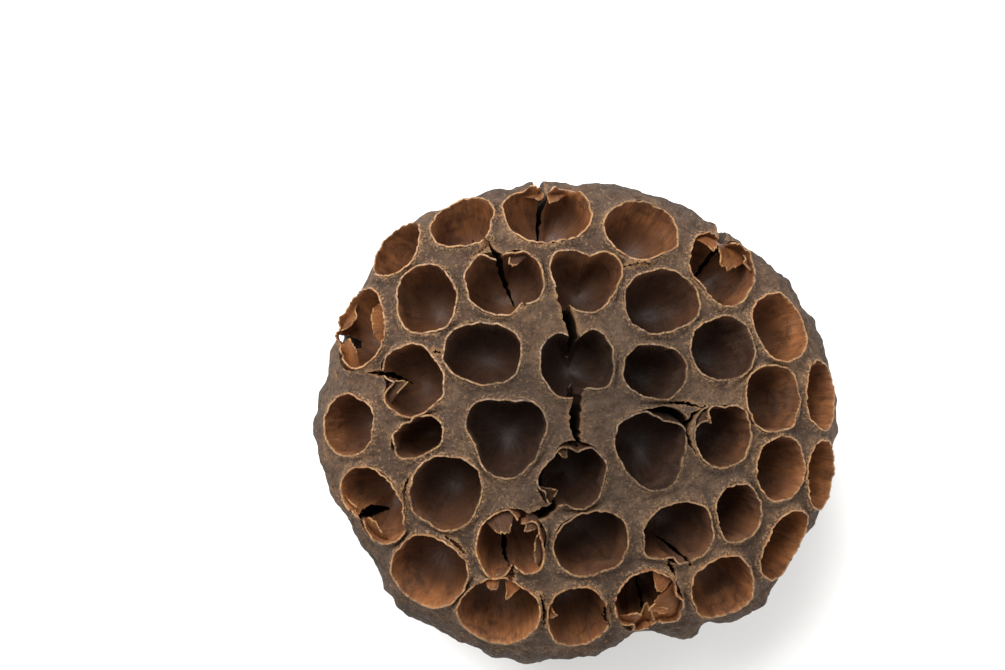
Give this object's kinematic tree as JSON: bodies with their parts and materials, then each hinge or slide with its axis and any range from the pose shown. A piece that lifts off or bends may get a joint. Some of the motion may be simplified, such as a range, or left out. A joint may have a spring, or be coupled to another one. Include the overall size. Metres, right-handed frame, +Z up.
{
  "type": "dried lotus pod",
  "caption": "Dried lotus seed head: a domed woody pod with open seed cells and torn papery rims over its face, narrowing underneath to a short cut stalk it stands on.",
  "frame": {"origin": "centre of the flat cut end of the stalk, on the surface the pod stands on", "axes": "+Z up along the pod's own axis, out through the middle of the domed face; +X along the pod's widest direction"},
  "size_m": [0.0983, 0.0893, 0.058],
  "materials": {
    "husk": "matt dry grey-brown husk with tan worn edges",
    "cell_lining": "smooth satin red-brown lining with a paler papery rim"
  },
  "bodies": {
    "root": {"lotus_pod": "husk"}
  },
  "joints": []
}
